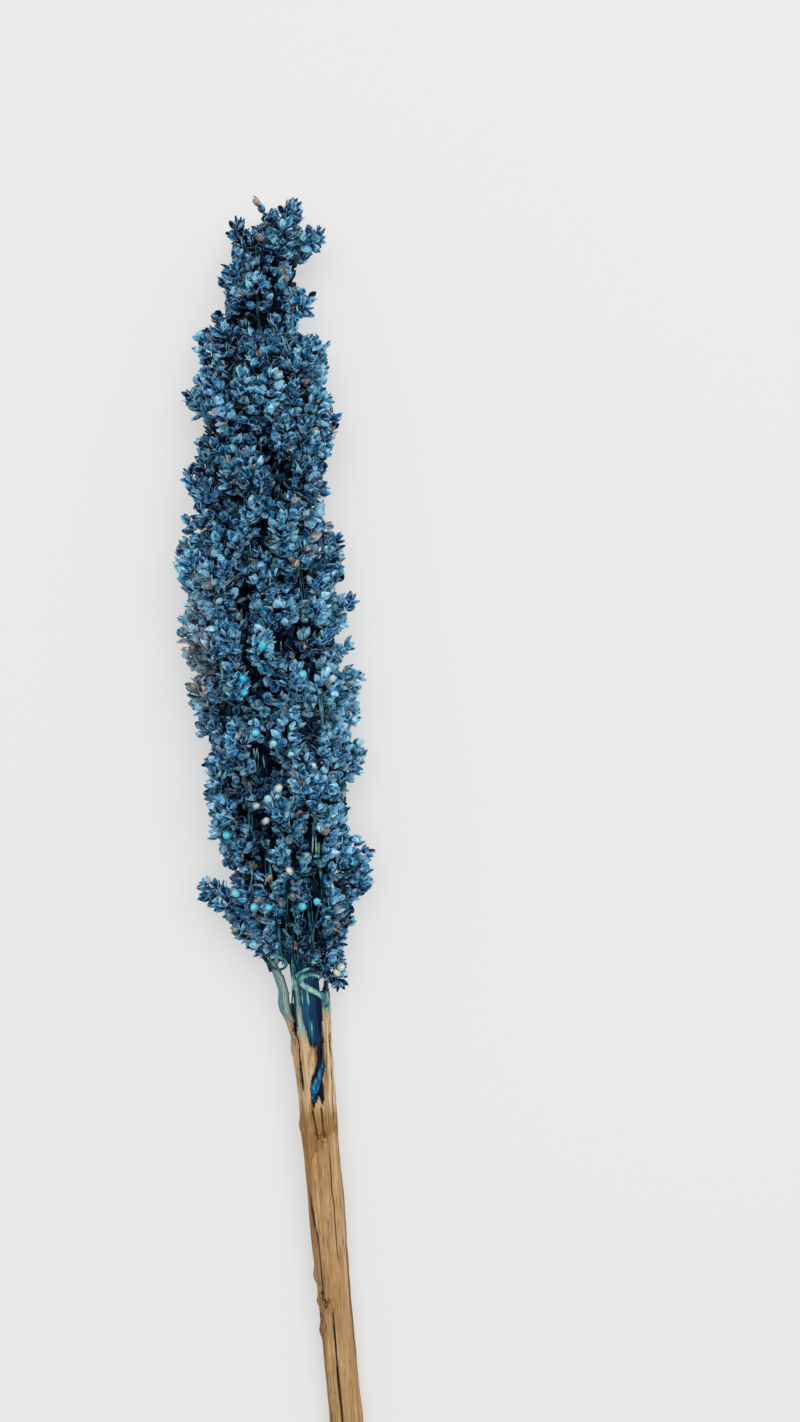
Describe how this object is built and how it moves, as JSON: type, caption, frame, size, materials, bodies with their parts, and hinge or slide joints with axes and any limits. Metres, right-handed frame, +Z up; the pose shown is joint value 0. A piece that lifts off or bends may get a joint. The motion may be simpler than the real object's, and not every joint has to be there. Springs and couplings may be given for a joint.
{
  "type": "dried sorghum seed head",
  "caption": "Dried sorghum seed head dyed blue, a long tapering head of small pointed spikelets on a tan stem with a torn leaf sheath, lying on its side.",
  "frame": {"origin": "centre of the bounding box's underside, at the height of the table that the head and the stem's cut end lie on", "axes": "+Y along the stem from its cut end to the head's tip, +Z up from the table, +X to the right seen from above with the tip away"},
  "size_m": [0.0712, 0.5016, 0.0496],
  "materials": {
    "dyed_spikelets": "dyed dry husk, dull with a slight sheen on the ribs",
    "dry_stalk": "dry fibrous stalk, dull"
  },
  "bodies": {
    "root": {"head": "dyed_spikelets", "stem": "dry_stalk"}
  },
  "joints": []
}
